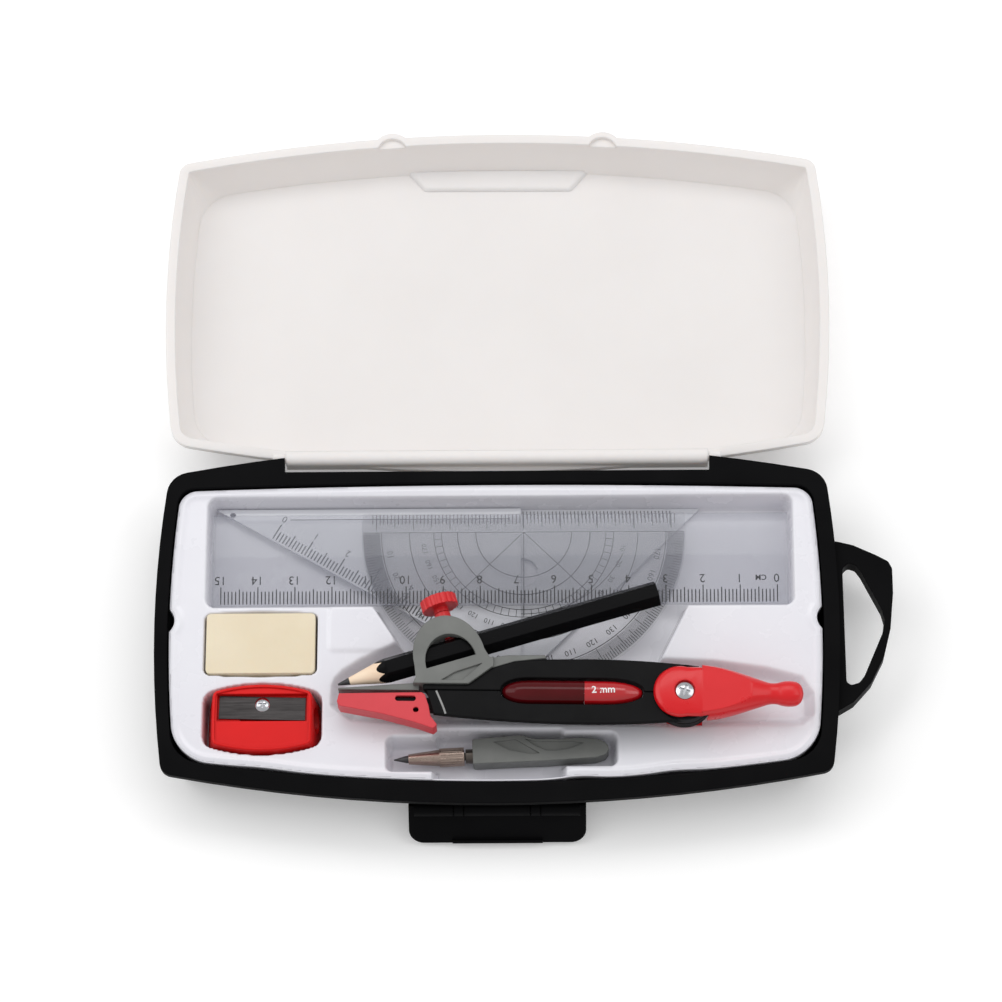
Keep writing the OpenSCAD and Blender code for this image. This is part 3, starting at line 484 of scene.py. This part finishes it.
def ruler_z(x, y):
    return RZ + EDGE_T + BEVEL_RISE * np.clip((y - RY0) / BEVEL_W, 0, 1)


ink = Print(ruler_z)
ZERO = RX + 74.7
for i in range(151):
    x = ZERO - i
    ink.line((x, RY0 + 0.4), (x, RY0 + 0.4 + tick(i, 4.6, 4.0, 3.4)), 0.27)
for i in range(16):
    ink.text(str(i), (ZERO - 10 * i - 0.2, RY0 + 6.9), 3.3, 180)
ink.text("CM", (ZERO - 4.4, RY0 + 7.0), 2.1, 180, 0.03)
ink.make("ruler_scale", INK, "ruler")

# ---------------------------------------------------------------- protractor

lo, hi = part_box("protractor")
PX, PY, PZ = (lo.x + hi.x) / 2 / MM, hi.y / MM - 5.6, hi.z / MM
RIM_R, INNER_R, INNER_END = 43.4, 24.4, 22.3    # ends of the two rings of graduations
NUMERALS_R, INNER_NUMERALS_R = 36.6, 27.2


def flat(height):
    """Height function of a level face."""
    return lambda x, y: height


def at_angle(r, t):
    """Point on the protractor at radius r and angle t in radians."""
    return PX + r * math.cos(t), PY + r * math.sin(t)


ink = Print(flat(PZ))
for a in range(181):
    t = math.radians(180 + a)
    ink.line(at_angle(RIM_R, t), at_angle(RIM_R - tick(a, 4.6, 3.4, 2.2), t), 0.16)
    if a % 5 == 0:
        ink.line(at_angle(INNER_R, t), at_angle(INNER_END, t), 0.16)
for a in range(10, 171, 10):
    t = math.radians(180 + a)
    ink.text(str(a), at_angle(NUMERALS_R, t), 2.3, a + 90)
    ink.text(str(180 - a), at_angle(INNER_NUMERALS_R, t), 2.0, a + 90)
for r, w in ((13, 0.26), (18, 0.26), (INNER_END, 0.2), (INNER_R, 0.2), (31, 0.22), (38.6, 0.2)):
    ink.arc((PX, PY), r, 180, 360, w)
for a in (45, 90, 135):
    ink.line((PX, PY), at_angle(24, math.radians(180 + a)), 0.22)
ink.line((PX - 40, PY), (PX + 40, PY), 0.18)
for i in range(-41, 42):
    ink.line((PX + i, PY + 5.2), (PX + i, PY + 5.2 - tick(i, 4.2, 3.6, 2.8)), 0.2)
ink.make("protractor_scale", INK, "protractor")
band = Print(flat(PZ), 0.015)
band.arc((PX, PY), 41.3, 180, 360, 4.6, 90)
band.make("protractor_band", BAND, "protractor")

# ---------------------------------------------------------------- set squares

lo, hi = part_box("set_square_60")
A = np.array([lo.x / MM, hi.y / MM])        # ends of its long edge
B = np.array([hi.x / MM, lo.y / MM])
ink = Print(flat(hi.z / MM))
along = (B - A) / np.linalg.norm(B - A)
inward = np.array([-along[1], along[0]])
start = A + along * 17.5 + inward * 0.5
for i in range(61):
    p = start + along * i
    ink.line(p, p + inward * tick(i, 4.6, 3.6, 2.6), 0.36)
for i in range(6):
    p = start + along * 10 * i + inward * 6.4
    ink.text(str(i), p, 2.7, 150)
ink.line((A[0] + 20, A[1] - 3), (B[0] - 3, A[1] - 3), 0.2)
ink.make("set_square_60_scale", INK, "set_square_60")

lo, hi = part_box("set_square_45")
ink = Print(flat(hi.z / MM))
mid_x, yb = (lo.x + hi.x) / 2 / MM, hi.y / MM
for i in range(81):
    x = mid_x - 40 + i
    ink.line((x, yb - 0.5), (x, yb - tick(i, 4.6, 3.6, 2.6)), 0.2)
ink.arc((mid_x, yb), 30, 205, 335, 0.2)
ink.make("set_square_45_scale", INK, "set_square_45")

# ---------------------------------------------------------------- compass

# the tube cap's radius, and how far its axis lies above and beside the middle of the legs
CAP_R, CAP_RAISE, CAP_V = 3.3, 1.4, 0.35


def cap_z(x, y):
    v = y - (PIVOT[1] + CAP_V)
    return MID_Z + CAP_RAISE + np.sqrt(np.maximum(CAP_R * CAP_R - v * v, 0.0))


label = Print(cap_z, 0.03)
label.text("2 mm", (PIVOT[0] - 21.4, PIVOT[1] + CAP_V + 0.1), 2.7, 0.9, 0.05)
label.make("lead_size_label", WHITE_INK, "needle_leg")

LEG_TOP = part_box("needle_leg")[1].z / MM
ring = Print(flat(LEG_TOP), 0.02)
arc_at = [(65.5, -0.25), (64.9, -1.6), (64.2, -3.2), (63.5, -4.9), (62.9, -6.6)]
for a, b in zip(arc_at, arc_at[1:]):
    ring.line(at_compass(*a), at_compass(*b), 0.5)
ring.make("grip_line", PALE_GREY, "needle_leg")

# ---------------------------------------------------------------- stage, light and camera

FLOOR_HALF, FLOOR_DROP = 3, 0.0002
AMBIENT = 0.62
AIM = (0, 0.04, 0)
floor_me = bpy.data.meshes.new("floor")
floor_me.from_pydata([(x * FLOOR_HALF, y * FLOOR_HALF, 0) for x, y in ((-1, -1), (1, -1), (1, 1), (-1, 1))],
                     [], [(0, 1, 2, 3)])
floor = bpy.data.objects.new("floor", floor_me)
bpy.context.scene.collection.objects.link(floor)
floor.location.z = -FLOOR_DROP
floor_me.materials.append(surface("floor_paper", (0.86, 0.86, 0.86), 0.9, (0.88, 0.88, 0.88), 0.95, 8,
                                  [(400, 0.03, 0.1)], Emission_Color=(1, 1, 1, 1), Emission_Strength=0.2))

world = bpy.data.worlds.new("world")
bpy.context.scene.world = world
world.use_nodes = True
world.node_tree.nodes["Background"].inputs["Color"].default_value = (1, 1, 1, 1)
world.node_tree.nodes["Background"].inputs["Strength"].default_value = AMBIENT


def softbox(name, at, size, power):
    light = bpy.data.lights.new(name, "AREA")
    light.shape, light.size, light.size_y = "RECTANGLE", size[0], size[1]
    light.energy = power
    o = bpy.data.objects.new(name, light)
    bpy.context.scene.collection.objects.link(o)
    o.location = at
    o.rotation_mode = "QUATERNION"
    o.rotation_quaternion = (Vector(AIM) - Vector(at)).to_track_quat("-Z", "Y")


softbox("left_softbox", (-0.9, 0.25, 0.9), (0.9, 0.9), 4.2)
softbox("right_softbox", (0.9, 0.1, 1.0), (0.8, 0.8), 2.7)
softbox("top_softbox", (0.0, 0.75, 1.25), (1.2, 0.5), 4.5)

# angles in degrees, lengths in millimetres
VIEW = {"az": 2.577, "el": 69.183, "roll": -2.76, "dist": 1107.9, "target": (1.1, 35.38, 15)}
SENSOR, LENS = 36.0, 146.6479
az, el, roll = (math.radians(VIEW[k]) for k in ("az", "el", "roll"))
back = Vector((math.sin(az) * math.cos(el), -math.cos(az) * math.cos(el), math.sin(el)))
right = Vector((math.cos(az), math.sin(az), 0))
up = back.cross(right)
cx = right * math.cos(roll) + up * math.sin(roll)
cy = up * math.cos(roll) - right * math.sin(roll)
cam_data = bpy.data.cameras.new("camera")
cam = bpy.data.objects.new("camera", cam_data)
bpy.context.scene.collection.objects.link(cam)
cam_data.sensor_width = SENSOR
cam_data.lens = LENS
cam_data.clip_start, cam_data.clip_end = 0.05, 20
cam.matrix_world = Matrix.Translation((Vector(VIEW["target"]) + back * VIEW["dist"]) * MM) @ Matrix(
    (cx, cy, back)).transposed().to_4x4()
bpy.context.scene.camera = cam
bpy.context.scene.view_settings.view_transform = "Standard"
